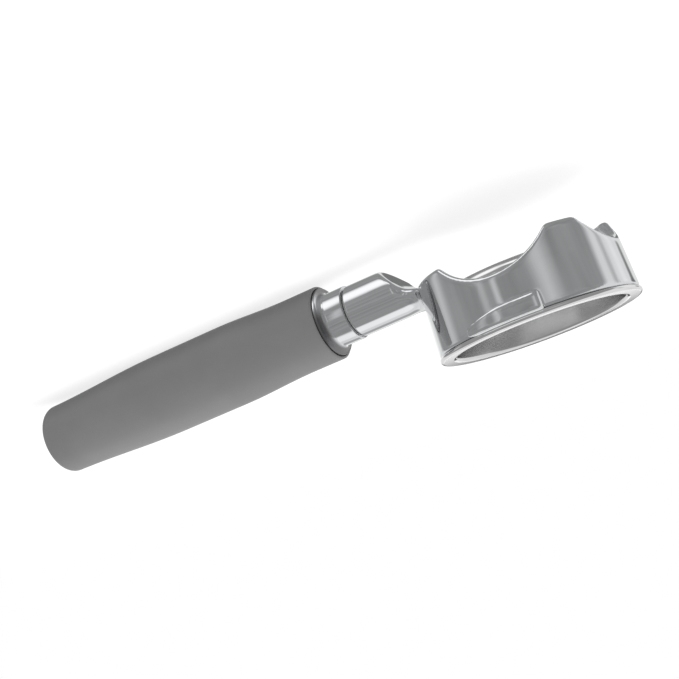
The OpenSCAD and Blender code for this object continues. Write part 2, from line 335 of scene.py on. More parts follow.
@dataclass(frozen=True)
class MouldedPlastic(Finish):
    """Satin moulded plastic with a fine eroded grain that hands have polished in places."""

    colour: Colour = (0.235, 0.235, 0.237)
    rubbed: Colour = (0.265, 0.265, 0.267)
    sheen: float = 0.44

    def draw(self, sheet: NodeSheet) -> None:
        """Draws the grain, its mottling and the rubbed places.

        Args:
            sheet: the material's sheet.
        """
        place = sheet.place()
        grain = sheet.noise(place, 3200.0, 2.0)
        mottle = sheet.noise(place, 420.0, 3.0)
        rubbed = sheet.noise(place, 38.0, 2.0).rise(0.38, 0.7)
        sheet.surface(
            Base_Color=sheet.tint(rubbed * 0.6 + mottle * 0.4, self.colour, self.rubbed),
            Roughness=self.sheen + mottle * 0.1 - rubbed * 0.07,
            Normal=sheet.relief(grain + mottle * 0.5, 0.00005, 0.3),
        )


@dataclass(frozen=True)
class MouldedRubber(Finish):
    """Grey seal rubber with a dry bloom."""

    colour: Colour = (0.42, 0.42, 0.422)
    bloom: Colour = (0.50, 0.50, 0.502)

    def draw(self, sheet: NodeSheet) -> None:
        """Draws the bloom and a fine moulded skin.

        Args:
            sheet: the material's sheet.
        """
        place = sheet.place()
        bloom = sheet.noise(place, 300.0, 4.0)
        skin = sheet.noise(place, 4000.0, 2.0)
        sheet.surface(
            Base_Color=sheet.tint(bloom, self.colour, self.bloom),
            Roughness=0.58 + bloom * 0.2,
            Normal=sheet.relief(skin, 0.00003, 0.3),
        )


@dataclass(frozen=True)
class PlainSteel(Finish):
    """Drawn or zinc plated steel of the parts clamped inside the handle."""

    colour: Colour = (0.56, 0.57, 0.58)
    dull: Colour = (0.42, 0.43, 0.45)
    polish: float = 0.24

    def draw(self, sheet: NodeSheet) -> None:
        """Draws the plate's spangle and lines along the handle.

        Args:
            sheet: the material's sheet.
        """
        place = sheet.place()
        spangle = sheet.noise(place, 700.0, 4.0)
        drawn = sheet.noise(sheet.stretched(place, (120.0, 3000.0, 3000.0)), 1.0, 2.0)
        sheet.surface(
            Base_Color=sheet.tint(spangle, self.colour, self.dull),
            Metallic=1.0,
            Roughness=self.polish + spangle * 0.14,
            Normal=sheet.relief(drawn, 0.00001, 0.5),
        )


class Look(Enum):
    """The finishes of this object."""

    CHROME = ChromePlate("chrome_plate")
    BASKET = DrawnSteel("drawn_stainless")
    WIRE = PlainSteel("spring_wire", (0.60, 0.60, 0.60), (0.48, 0.48, 0.48), 0.16)
    RUBBER = MouldedRubber("seal_rubber")
    GRIP = MouldedPlastic("satin_charcoal_plastic")
    CAP = MouldedPlastic("cap_plastic", (0.18, 0.18, 0.182), (0.205, 0.205, 0.207), 0.38)
    SLEEVE = PlainSteel("drawn_tube")
    BOLT = PlainSteel("zinc_plate", (0.58, 0.59, 0.60), (0.45, 0.46, 0.49), 0.28)
    LOCK = PlainSteel("blued_spring_steel", (0.36, 0.36, 0.37), (0.28, 0.28, 0.29), 0.3)

    def material(self) -> bpy.types.Material:
        """The look's material, made once."""
        return bpy.data.materials.get(self.value.name) or self.value.material()


# ---------------------------------------------------------------- shaping


@dataclass(frozen=True)
class Corner:
    """A corner of a turned profile: place along the axis, radius, and the length rounded off."""

    along: float
    radius: float
    rounded: float = 0.0
    segments: int = 6


def turned(corners: Sequence[Corner], steps: int, closed: bool = True) -> BMesh:
    """Draws a profile, radius along X, rounds its corners and spins it about Z.

    Args:
        corners: the profile's corners in order.
        steps: facets in the turn.
        closed: whether the last corner joins the first.

    Returns:
        The turned mesh, with its doubles merged and its faces outwards.
    """
    bm = bmesh.new()
    verts = [bm.verts.new((c.radius, 0.0, c.along)) for c in corners]
    for a, b in zip(verts, verts[1:] + verts[:1] if closed else verts[1:]):
        bm.edges.new((a, b))
    for corner, vert in zip(corners, verts):
        if corner.rounded:
            bmesh.ops.bevel(
                bm, geom=[vert], offset=corner.rounded, offset_type="OFFSET",
                segments=corner.segments, profile=0.5, affect="VERTICES", material=-1,
            )
    bmesh.ops.spin(
        bm, geom=bm.verts[:] + bm.edges[:], cent=(0, 0, 0), axis=(0, 0, 1), angle=FULL_TURN,
        steps=steps, use_merge=True, use_duplicate=False,
    )
    tidy(bm)
    return bm


def tidy(bm: BMesh) -> None:
    """Merges doubles and turns every face outwards."""
    bmesh.ops.remove_doubles(bm, verts=bm.verts[:], dist=TIDY)
    bmesh.ops.recalc_face_normals(bm, faces=bm.faces[:])


def laid_along_handle(bm: BMesh, axis_z: float) -> BMesh:
    """Lays a mesh turned about Z along the handle's axis.

    Args:
        bm: the turned mesh.
        axis_z: height of the handle's axis, which runs along X.

    Returns:
        The same mesh, laid down.
    """
    turn = Matrix.Translation((0, 0, axis_z)) @ Matrix.Rotation(QUARTER_TURN, 4, "Y")
    bmesh.ops.transform(bm, matrix=turn, verts=bm.verts[:])
    return bm


def prism(points: Iterable[Sequence[float]], push: Vector, rounding: dict[int, float]) -> BMesh:
    """A flat outline with some corners rounded, pushed into a solid.

    Args:
        points: the outline's corners.
        push: the extrusion.
        rounding: the length rounded off at each corner, by its place in points.

    Returns:
        The solid.
    """
    bm = bmesh.new()
    verts = [bm.verts.new(p) for p in points]
    bm.faces.new(verts)
    for place, length in rounding.items():
        bmesh.ops.bevel(
            bm, geom=[verts[place]], offset=length, offset_type="OFFSET", segments=8,
            profile=0.5, affect="VERTICES", material=-1,
        )
    pushed = bmesh.ops.extrude_face_region(bm, geom=bm.faces[:])
    moved = [v for v in pushed["geom"] if isinstance(v, bmesh.types.BMVert)]
    bmesh.ops.translate(bm, vec=push, verts=moved)
    tidy(bm)
    return bm


def rod(radius: float, length: float, matrix: Matrix) -> BMesh:
    """A closed cylinder.

    Args:
        radius: the cylinder's radius.
        length: its length along its own Z, half each way.
        matrix: where it is put.

    Returns:
        The placed cylinder.
    """
    bm = bmesh.new()
    bmesh.ops.create_cone(
        bm, cap_ends=True, cap_tris=False, segments=ROD_STEPS, radius1=radius,
        radius2=radius, depth=length, matrix=matrix,
    )
    return bm


class Blank:
    """A solid being carved in millimetres, before it becomes a piece."""

    def __init__(self, bm: BMesh) -> None:
        """Puts a mesh in a working object of its own.

        Args:
            bm: the mesh, which is used up.
        """
        mesh = bpy.data.meshes.new("blank")
        bm.to_mesh(mesh)
        bm.free()
        self.object = bpy.data.objects.new("blank", mesh)
        bpy.context.scene.collection.objects.link(self.object)

    def _apply(self) -> None:
        """Makes the modifiers' result the blank's own mesh."""
        bpy.context.view_layer.update()
        graph = bpy.context.evaluated_depsgraph_get()
        result = bpy.data.meshes.new_from_object(self.object.evaluated_get(graph))
        self.object.modifiers.clear()
        self.object.data = result

    def cut(self, tool: BMesh, operation: str = "DIFFERENCE") -> "Blank":
        """Carves with one tool, which is used up.

        Args:
            tool: the tool's closed mesh.
            operation: the Boolean modifier's operation.

        Returns:
            This blank.
        """
        other = Blank(tool)
        carve = self.object.modifiers.new("carve", "BOOLEAN")
        carve.operation, carve.solver, carve.object = operation, "EXACT", other.object
        self._apply()
        bpy.data.objects.remove(other.object)
        return self

    def skinned(self, depth: int, mode: str = "SHARP") -> "Blank":
        """Covers the solid in even quads.

        Args:
            depth: fineness; each step halves the quads.
            mode: the Remesh modifier's mode: SHARP keeps edges, SMOOTH follows a round skin.

        Returns:
            This blank.
        """
        cover = self.object.modifiers.new("cover", "REMESH")
        cover.mode, cover.octree_depth, cover.scale = mode, depth, GRID_SHARE
        cover.use_remove_disconnected = False
        self._apply()
        return self

    def taken(self) -> BMesh:
        """Ends the working object.

        Returns:
            The blank's mesh.
        """
        bm = bmesh.new()
        bm.from_mesh(self.object.data)
        bpy.data.objects.remove(self.object)
        return bm


def poured_together(parts: Iterable[BMesh]) -> BMesh:
    """Puts several meshes into one, without joining their surfaces.

    Args:
        parts: the meshes, which are used up.

    Returns:
        The mesh that holds them all.
    """
    whole = bmesh.new()
    for part in parts:
        mesh = bpy.data.meshes.new("part")
        part.to_mesh(mesh)
        part.free()
        whole.from_mesh(mesh)
        bpy.data.meshes.remove(mesh)
    return whole


@dataclass(frozen=True)
class Easing:
    """Hand polishing that eases edges, everywhere or in a box in millimetres."""

    passes: int
    x: Span = (-math.inf, math.inf)
    y: Span = (-math.inf, math.inf)
    z: Span = (-math.inf, math.inf)

    def holds(self, point: Vector) -> bool:
        """Whether the point lies in the box."""
        return all(lo <= value <= hi for value, (lo, hi) in zip(point, (self.x, self.y, self.z)))

    def polish(self, bm: BMesh) -> None:
        """Smooths the skin's points that lie in the box.

        Args:
            bm: the skin.
        """
        verts = [v for v in bm.verts if self.holds(v.co)]
        for _ in range(self.passes):
            bmesh.ops.smooth_vert(
                bm, verts=verts, factor=0.5, use_axis_x=True, use_axis_y=True, use_axis_z=True
            )


@dataclass(frozen=True)
class Piece:
    """A finished piece's name, the body it rides on, the imported part it stands in for and its
    look.
    """

    name: str
    body: str
    stands_for: str
    look: Look

    def finish(self, bm: BMesh, crease: float = 38.0) -> bpy.types.Object:
        """Turns a shaped mesh into a piece that rides on its body.

        Args:
            bm: the mesh in millimetres, in the frame's place.
            crease: edges sharper than this many degrees stay sharp.

        Returns:
            The piece's object.
        """
        bmesh.ops.scale(bm, vec=(METRES,) * 3, verts=bm.verts[:])
        mesh = bpy.data.meshes.new(self.name)
        bm.to_mesh(mesh)
        bm.free()
        mesh.shade_smooth()
        mesh.set_sharp_from_angle(angle=math.radians(crease))
        mesh.materials.append(self.look.material())
        piece = bpy.data.objects.new(self.name, mesh)
        bpy.context.scene.collection.objects.link(piece)
        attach(piece, self.body)
        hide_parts(self.stands_for)
        log.info("%s: %d faces on %s", self.name, len(mesh.polygons), self.body)
        return piece


# ---------------------------------------------------------------- sub-assemblies


@dataclass
class Holder:
    """The chromed casting that carries the basket, with its lugs and shank, and its spring."""

    bore_r: float = 30.5
    top_r: float = 34.7
    foot_r: float = 33.4
    top_z: float = -1.8
    foot_z: float = -27.4
    edge: float = 0.6
    mouth_edge: float = 0.3
    side_saddle: Span = (22.6, -17.9)
    side_saddle_x: float = -2.2
    front_saddle: Span = (21.4, -18.8)
    lug_r: float = 42.0
    lug_tail: float = 22.5
    lug_lead: float = 14.5
    lug_top: float = -1.0
    lug_depths: tuple[float, float, float] = (6.5, 5.9, 3.2)
    lug_lead_len: float = 12.0
    lug_bevel: Span = (-5.8, 32.0)
    lug_corner: float = 2.6
    lug_nose: float = 1.8
    rim_room: float = 35.3
    axis_z: float = -30.2
    shank_r: float = 9.2
    shank_end: float = 59.7
    flare: float = 8.0
    scoop_start: float = 38.2
    scoop_angle: float = 50.0
    neck_start: float = 31.0
    neck_rise: float = 0.7
    joint_x: float = 50.0
    groove: Span = (60.7, 7.6)
    spigot: Span = (76.7, 6.5)
    tapped: Span = (50.7, 4.05)
    spring_z: float = -11.5
    spring_r: float = 31.0
    wire_r: float = 0.7
    spring_opening: float = 24.0
    end_blend: float = 3.0
    ring_steps: int = 720
    shank_steps: int = 480
    end_steps: int = 240
    crease: float = 65.0
    detail: int = 8
    rough_polish: tuple[Easing, ...] = (
        Easing(30),
        Easing(50, (-40.0, 31.0), (-40.0, 40.0), (-28.4, -16.7)),
        Easing(45, (36.5, 51.0), (-11.0, 11.0), (-41.0, -28.0)),
    )
    fine_polish: tuple[Easing, ...] = (
        Easing(30, (28.9, 41.1), (-22.0, 22.0), (-33.0, -8.0)),
        Easing(30, (29.7, 40.3), (-22.0, 22.0), (-33.0, -8.0)),
        Easing(40, (30.5, 39.5), (-22.0, 22.0), (-33.0, -8.0)), Easing(2),
    )

    def ring(self) -> Blank:
        """Turns the ring with its spring groove and cuts its saddles.

        Returns:
            The ring.
        """
        half = self.wire_r + 0.1
        groove_r = self.spring_r + half
        blank = Blank(turned([
            Corner(self.top_z, self.bore_r, self.mouth_edge),
            Corner(self.top_z, self.top_r - 0.1, self.edge),
            Corner(self.foot_z, self.foot_r, self.edge),
            Corner(self.foot_z, self.bore_r, self.edge),
            Corner(self.spring_z - half, self.bore_r), Corner(self.spring_z - half, groove_r),
            Corner(self.spring_z + half, groove_r), Corner(self.spring_z + half, self.bore_r),
        ], self.ring_steps))
        radius, crown = self.side_saddle
        across = Matrix.Translation((self.side_saddle_x, 0, crown - radius))
        blank.cut(rod(radius, 80.0, across @ Matrix.Rotation(QUARTER_TURN, 4, "X")))
        radius, crown = self.front_saddle
        ahead = Matrix.Translation((-20.0, 0, crown - radius))
        return blank.cut(rod(radius, 40.0, ahead @ Matrix.Rotation(QUARTER_TURN, 4, "Y")))

    def lug(self) -> Blank:
        """Makes the lug on the -Y side: a ring sector cut to its side view.

        Returns:
            The lug.
        """
        def at(radius: float, angle: float) -> Vector:
            """A point at a radius, turned from -Y towards +X by degrees."""
            turn = math.radians(angle)
            return Vector((radius * math.sin(turn), -radius * math.cos(turn), 0.0))

        inner = self.bore_r + 1.0
        start, steps = -self.lug_tail + 5.0, 40
        sweep = self.lug_lead - start
        arc = [at(self.lug_r, start + sweep * i / steps) for i in range(steps + 1)]
        plan = prism(
            [at(inner, self.lug_lead), at(inner, 0), at(inner, -self.lug_tail),
             at(self.lug_r, -self.lug_tail), *arc],
            Vector((0, 0, -20.0)), {3: self.lug_corner},
        )
        lead_x = self.lug_r * math.sin(math.radians(self.lug_lead))
        tail_x = -self.lug_r * math.sin(math.radians(self.lug_tail)) - 1.0
        tail, mid, lead = (self.lug_top - depth for depth in self.lug_depths)
        side = prism(
            [(lead_x, 0, self.lug_top), (tail_x, 0, self.lug_top), (tail_x, 0, tail),
             (lead_x - self.lug_lead_len, 0, mid), (lead_x, 0, lead)],
            Vector((0, -50.0, 0)), {4: self.lug_nose},
        )
        bevel_z, lean = self.lug_bevel
        wide, low, slope = self.lug_r + 1.0, tail - 2.0, math.tan(math.radians(lean))
        bevelled = turned([
            Corner(0, 0), Corner(0, wide), Corner(bevel_z + 1.0 / slope, wide),
            Corner(low, self.lug_r - (bevel_z - low) * slope), Corner(low, 0),
        ], self.ring_steps, closed=False)
        blank = Blank(plan).cut(side, "INTERSECT").cut(bevelled, "INTERSECT")
        return blank.cut(rod(self.rim_room, 4.0, Matrix.Translation((0, 0, self.top_z + 2.0))))

    def shank(self) -> Blank:
        """Turns the plain shank with its trumpet and scoops it underneath.

        Returns:
            The shank.
        """
        flare_x = self.scoop_start - self.flare
        flare_r = self.shank_r + self.flare
        stub_x = self.joint_x + 4.0
        body = turned([
            Corner(flare_x - 1.0, 0), Corner(flare_x - 1.0, flare_r),
            Corner(flare_x - 0.01, flare_r), Corner(flare_x - 0.01, self.shank_r, self.flare, 24),
            Corner(stub_x, self.shank_r), Corner(stub_x, 0),
        ], self.shank_steps, closed=False)
        blank = Blank(laid_along_handle(body, self.axis_z))
        neck_z = self.axis_z + self.neck_rise
        deep = 2 * self.shank_r
        run = deep / math.tan(math.radians(self.scoop_angle))
        inner_x, side = self.neck_start - self.shank_r, 2 * flare_r
        blank.cut(prism(
            [(inner_x, side, self.foot_z), (self.neck_start, side, self.foot_z),
             (self.scoop_start, side, neck_z), (self.scoop_start + run, side, neck_z - deep),
             (inner_x, side, neck_z - deep)],
            Vector((0, -2 * side, 0)), {},
        ))
        return blank.cut(rod(self.bore_r + 0.5, 80.0, Matrix.Translation((0, 0, self.foot_z))))

    def with_turned_end(self, skin: BMesh) -> BMesh:
        """Swaps the skin's plain shank end for the crisp groove, spigot and tapped hole.

        Args:
            skin: the casting's skin.

        Returns:
            The whole casting's mesh.
        """
        bmesh.ops.bisect_plane(
            skin, geom=skin.verts[:] + skin.edges[:] + skin.faces[:], dist=TIDY,
            plane_co=(self.joint_x, 0, 0), plane_no=(1, 0, 0), clear_outer=True,
        )
        for vert in skin.verts:
            share = min(1.0, (vert.co.x - self.joint_x) / self.end_blend + 1.0)
            if share > 0:
                out = Vector((0, vert.co.y, vert.co.z - self.axis_z))
                vert.co += out.normalized() * (self.shank_r - out.length) * share
        groove_x, groove_r = self.groove
        spigot_x, spigot_r = self.spigot
        tapped_x, tapped_r = self.tapped
        end = turned([
            Corner(self.joint_x + 0.4, self.shank_r), Corner(self.shank_end - 0.5, self.shank_r),
            Corner(self.shank_end, self.shank_r, 0.15, 3), Corner(self.shank_end, groove_r),
            Corner(groove_x, groove_r), Corner(groove_x, spigot_r), Corner(spigot_x, spigot_r),
            Corner(spigot_x, tapped_r), Corner(tapped_x, tapped_r), Corner(tapped_x, 0),
        ], self.end_steps, closed=False)
        whole = poured_together([skin, laid_along_handle(end, self.axis_z)])
        bmesh.ops.bridge_loops(whole, edges=[e for e in whole.edges if e.is_boundary])
        bmesh.ops.recalc_face_normals(whole, faces=whole.faces[:])
        return whole

    def casting(self) -> bpy.types.Object:
        """Makes the whole casting as one skin with eased edges.

        Returns:
            The casting's piece.
        """
        near = self.lug().taken()
        far = near.copy()
        bmesh.ops.rotate(
            far, cent=(0, 0, 0), matrix=Matrix.Rotation(math.pi, 3, "Z"), verts=far.verts[:]
        )
        blank = self.ring()
        for part in (near, far, self.shank().taken()):
            blank.cut(part, "UNION")
        rough = blank.skinned(self.detail + 1).taken()
        for easing in self.rough_polish:
            easing.polish(rough)
        skin = Blank(rough).skinned(self.detail, "SMOOTH").taken()
        for easing in self.fine_polish:
            easing.polish(skin)
        return Piece("holder_casting_polished", "holder", "holder_casting", Look.CHROME).finish(
            self.with_turned_end(skin), self.crease
        )

    def spring(self) -> bpy.types.Object:
        """Bends the open wire ring that holds the basket.

        Returns:
            The spring's piece.
        """
        bm = bmesh.new()
        place = Matrix.Translation((self.spring_r, 0, self.spring_z))
        bmesh.ops.create_circle(
            bm, cap_ends=True, segments=16, radius=self.wire_r,
            matrix=place @ Matrix.Rotation(QUARTER_TURN, 4, "X"),
        )
        sweep = math.radians(360 - self.spring_opening)
        bmesh.ops.spin(
            bm, geom=bm.faces[:], cent=(0, 0, 0), axis=(0, 0, 1), angle=sweep, steps=160
        )
        start = math.pi + math.radians(self.spring_opening / 2)
        bmesh.ops.rotate(
            bm, cent=(0, 0, 0), matrix=Matrix.Rotation(start, 3, "Z"), verts=bm.verts[:]
        )
        tidy(bm)
        return Piece("retaining_spring_wire", "holder", "retaining_spring", Look.WIRE).finish(bm)

    def build(self) -> None:
        """Builds the casting and its spring."""
        self.casting()
        self.spring()


@dataclass
class FilterBasket:
    """The pressed stainless basket, made as a sheet's middle surface and then thickened."""

    inside_r: float = 29.25
    sheet: float = 0.8
    height: float = 21.5
    corner_r: float = 3.5
    bend_r: float = 0.8
    rim_r: float = 35.0
    rim_h: float = 1.8
    hem: float = 2.4
    hole_r: float = 0.3
    pitch: float = 1.9
    field_r: float = 24.6
    steps: int = 240

    def wall(self) -> BMesh:
        """Turns the sheet's middle surface from the floor's plain margin out to the hem.

        Returns:
            The open surface.
        """
        half = self.sheet / 2
        wall_r = self.inside_r + half
        floor_z = -self.height + half
        roll = self.rim_h / 2 - half
        bead_r = self.rim_r - self.rim_h / 2
        return turned([
            Corner(floor_z, self.field_r + self.pitch),
            Corner(floor_z, wall_r, self.corner_r - half, 8),
            Corner(-half, wall_r, self.bend_r, 5),
            Corner(-half, wall_r + self.bend_r + 0.15), Corner(-half, bead_r - 0.15),
            Corner(-half, bead_r + roll, roll * 0.999, 6),
            Corner(-half - 2 * roll, bead_r + roll, roll * 0.999, 6),
            Corner(-half - 2 * roll, bead_r - self.hem + half),
        ], self.steps, closed=False)

    def pierced_floor(self) -> BMesh:
        """Makes the pierced middle of the floor: six-sided cells, each with a round hole.

        Returns:
            The pierced surface at height 0.
        """
        bm = bmesh.new()
        centres = []
        row_pitch = self.pitch * math.sin(math.radians(60))
        rows = math.ceil(self.field_r / row_pitch) + 1
        for row in range(-rows, rows + 1):
            for col in range(-rows - 1, rows + 2):
                spot = Vector(((col + (row % 2) / 2) * self.pitch, row * row_pitch, 0))
                if spot.length <= self.field_r:
                    centres.append(spot)
        cell_r = self.pitch / math.sqrt(3)
        first = bmesh.new()
        bmesh.ops.create_circle(first, cap_ends=False, segments=12, radius=cell_r)
        for vert in first.verts:
            turn = math.degrees(math.atan2(vert.co.y, vert.co.x))
            if round(turn) % 60 != 30:
                vert.co *= math.cos(math.radians(30))
        bmesh.ops.create_circle(first, cap_ends=False, segments=12, radius=self.hole_r)
        bmesh.ops.bridge_loops(first, edges=first.edges[:])
        cell = bpy.data.meshes.new("cell")
        first.to_mesh(cell)
        first.free()
        for spot in centres:
            before = len(bm.verts)
            bm.from_mesh(cell)
            bm.verts.ensure_lookup_table()
            bmesh.ops.translate(bm, vec=spot, verts=bm.verts[before:])
        bpy.data.meshes.remove(cell)
        bmesh.ops.remove_doubles(bm, verts=bm.verts[:], dist=0.02)
        return bm

    def build(self) -> None:
        """Builds the basket: its floor, its wall and the sheet's thickness."""
        floor = self.pierced_floor()
        bmesh.ops.translate(
            floor, vec=(0, 0, -self.height + self.sheet / 2), verts=floor.verts[:]
        )
        bm = poured_together([floor, self.wall()])
        inner = self.field_r + self.pitch + 0.01
        hole = self.hole_r + 0.05
        loops = [
            e for e in bm.edges
            if e.is_boundary and min(v.co.xy.length for v in e.verts) > self.field_r - self.pitch
            and max(v.co.xy.length for v in e.verts) < inner and e.calc_length() > hole
        ]
        bmesh.ops.triangle_fill(bm, use_beauty=True, use_dissolve=False, edges=loops)
        tidy(bm)
        piece = Piece("filter_basket_pressed", "basket", "filter_basket", Look.BASKET).finish(bm)
        thick = piece.modifiers.new("sheet", "SOLIDIFY")
        thick.thickness = self.sheet * METRES
        thick.offset = 0.0
        thick.use_even_offset = True


@dataclass
class Handle:
    """The grip clamped on the holder's shank, with the ferrule, seals and cap."""

    axis_z: float = -30.2
    shoulder_x: float = 59.7
    groove_r: float = 7.6
    seal_r: float = 0.4
    ferrule: Span = (60.7, 70.9)
    ferrule_r: float = 9.7
    ferrule_bore: float = 6.6
    chamfer: float = 0.3
    flange: Span = (12.3, 1.4)
    cove: float = 2.4
    tail: Span = (8.7, 4.6)
    gasket: Span = (12.1, 0.5)
    recess: Span = (12.5, 1.0)
    tail_bore: Span = (8.8, 76.8)
    sleeve_bore: float = 5.6
    grip_len: float = 119.0
    mouth_r: float = 13.4
    swell_r: float = 14.5
    end_r: float = 12.7
    straight: float = 12.0
    rise: float = 30.0
    hold: float = 26.0
    mouth_edge: float = 0.7
    end_edge: float = 3.5
    pocket: Span = (8.5, 18.0)
    cap_r: float = 9.1
    cap_edge: float = 0.6
    cap_dome: float = 1.2
    cap_plug: float = 4.4
    steps: int = 192

    def turned_piece(
        self, corners: Sequence[Corner], piece: Piece, closed: bool = True
    ) -> bpy.types.Object:
        """Turns a profile about the handle's axis and finishes it.

        Args:
            corners: the profile's corners.
            piece: what the frame is told of it.
            closed: whether the profile is a loop.

        Returns:
            The piece's object.
        """
        bm = turned(corners, self.steps, closed)
        return piece.finish(laid_along_handle(bm, self.axis_z))

    def grip_r(self, behind: float) -> float:
        """Works out the grip's swell.

        Args:
            behind: distance behind the grip's mouth.

        Returns:
            The radius there.
        """
        def ease(start: float, end: float) -> float:
            """How far the swell has gone between two distances, from 0 to 1."""
            share = min(1.0, max(0.0, (behind - start) / (end - start)))
            return (1 - math.cos(math.pi * share)) / 2

        risen = self.straight + self.rise
        up = (self.swell_r - self.mouth_r) * ease(self.straight, risen)
        down = (self.swell_r - self.end_r) * ease(risen + self.hold, self.grip_len)
        return self.mouth_r + up - down

    def shoulder_seal(self) -> bpy.types.Object:
        """Makes the O-ring in the groove between shank and ferrule.

        Returns:
            The seal's piece.
        """
        bm = bmesh.new()
        off = self.seal_r + 0.1
        centre = Vector((self.groove_r + off, 0, self.shoulder_x + off))
        bmesh.ops.create_circle(
            bm, cap_ends=False, segments=24, radius=self.seal_r,
            matrix=Matrix.Translation(centre) @ Matrix.Rotation(QUARTER_TURN, 4, "X"),
        )
        bmesh.ops.spin(
            bm, geom=bm.verts[:] + bm.edges[:], cent=(0, 0, 0), axis=(0, 0, 1),
            angle=FULL_TURN, steps=self.steps, use_merge=True,
        )
        tidy(bm)
        return Piece("shoulder_seal_ring", "holder", "shoulder_seal", Look.RUBBER).finish(
            laid_along_handle(bm, self.axis_z)
        )

    def ferrule_piece(self) -> bpy.types.Object:
        """Turns the chromed ferrule with its cove and flange.

        Returns:
            The ferrule's piece.
        """
        start, end = self.ferrule
        flange_r, flange_t = self.flange
        tail_r, tail_len = self.tail
        flange_x = end - flange_t
        return self.turned_piece([
            Corner(start, self.ferrule_bore), Corner(start, self.ferrule_r, self.chamfer, 4),
            Corner(flange_x, self.ferrule_r, self.cove, 12),
            Corner(flange_x, flange_r, 0.45, 5), Corner(end, flange_r, 0.25, 3),
            Corner(end, tail_r), Corner(end + tail_len, tail_r),
            Corner(end + tail_len, self.ferrule_bore),
        ], Piece("ferrule_turned", "holder", "ferrule", Look.CHROME))

    def gasket_piece(self) -> bpy.types.Object:
        """Turns the thin gasket between flange and grip.

        Returns:
            The gasket's piece.
        """
        start = self.ferrule[1]
        radius, thick = self.gasket
        inner = self.tail[0] + 0.1
        return self.turned_piece([
            Corner(start, inner), Corner(start, radius, 0.12, 2),
            Corner(start + thick, radius, 0.12, 2), Corner(start + thick, inner),
        ], Piece("handle_gasket_ring", "holder", "handle_gasket", Look.RUBBER))

    def grip(self) -> bpy.types.Object:
        """Turns the grip, open at its mouth for the ferrule's tail and at its rear pocket.

        Returns:
            The grip's piece.
        """
        seat = self.ferrule[1] + self.gasket[1]
        recess_r, recess_deep = self.recess
        mouth = seat - recess_deep
        end = mouth + self.grip_len
        pocket_r, pocket_deep = self.pocket
        tail_r, tail_x = self.tail_bore
        rows = 44
        first, last = 2 * self.mouth_edge, self.grip_len - 1.6 * self.end_edge
        swell = [
            Corner(mouth + at, self.grip_r(at))
            for at in (first + (last - first) * i / rows for i in range(rows + 1))
        ]
        return self.turned_piece([
            Corner(seat, tail_r), Corner(seat, recess_r, 0.2, 2), Corner(mouth, recess_r, 0.15, 2),
            Corner(mouth, self.mouth_r, self.mouth_edge, 6), *swell,
            Corner(end, self.grip_r(self.grip_len), self.end_edge, 10),
            Corner(end, pocket_r, 0.3, 2), Corner(end - pocket_deep, pocket_r),
            Corner(end - pocket_deep, self.sleeve_bore), Corner(tail_x, self.sleeve_bore),
            Corner(tail_x, tail_r),
        ], Piece("handle_grip_moulded", "holder", "handle_grip", Look.GRIP))

    def cap(self) -> bpy.types.Object:
        """Turns the domed plug that closes the rear pocket.

        Returns:
            The cap's piece.
        """
        end = self.ferrule[1] + self.gasket[1] - self.recess[1] + self.grip_len
        edge = end + self.cap_edge
        plug_r = self.pocket[0] - 0.1
        dome_r = (self.cap_r ** 2 + self.cap_dome ** 2) / (2 * self.cap_dome)
        span = math.asin(self.cap_r / dome_r)
        centre = edge + self.cap_dome - dome_r
        dome = [
            Corner(centre + dome_r * math.cos(span * i / 12), dome_r * math.sin(span * i / 12))
            for i in range(12, -1, -1)
        ]
        return self.turned_piece([
            Corner(end - self.cap_plug, 0), Corner(end - self.cap_plug, plug_r, 0.4, 3),
            Corner(end, plug_r), Corner(end, self.cap_r, 0.15, 2), *dome,
        ], Piece("end_cap_domed", "holder", "end_cap", Look.CAP), closed=False)

    def dress_inner_parts(self) -> None:
        """Gives the parts clamped inside the grip their finishes."""
        for node, look in {
            "core_sleeve": Look.SLEEVE, "tie_bolt": Look.BOLT,
            "flat_washer": Look.BOLT, "lock_washer": Look.LOCK,
        }.items():
            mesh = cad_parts[node].data
            mesh.materials.clear()
            mesh.materials.append(look.material())
            log.info("%s: dressed as %s", node, look.value.name)

    def build(self) -> None:
        """Builds every piece of the handle."""
        self.shoulder_seal()
        self.ferrule_piece()
        self.gasket_piece()
        self.grip()
        self.cap()
        self.dress_inner_parts()


# ---------------------------------------------------------------- studio


@dataclass(frozen=True)
class Strip:
    """An upright strip in the studio's surround: bearing, half width and brightness."""

    bearing: float
    half: float
    gain: float


@dataclass(frozen=True)
class Way:
    """A direction from the object, by its bearing and its height in degrees."""

    bearing: float
    height: float

    def facing(self, axes: Axes) -> Signal:
        """How nearly a direction points this way.

        Args:
            axes: the direction's three parts.

        Returns:
            The cosine of the angle between the two.
        """
        level = math.cos(math.radians(self.height))
        east, north = (turn(math.radians(self.bearing)) * level for turn in (math.cos, math.sin))
        return axes[0] * east + axes[1] * north + axes[2] * math.sin(math.radians(self.height))


@dataclass(frozen=True)
class Patch(Way):
    """A round patch of one tone in the surround, with its full and its outer radius in degrees."""

    core: float
    edge: float
    tone: float


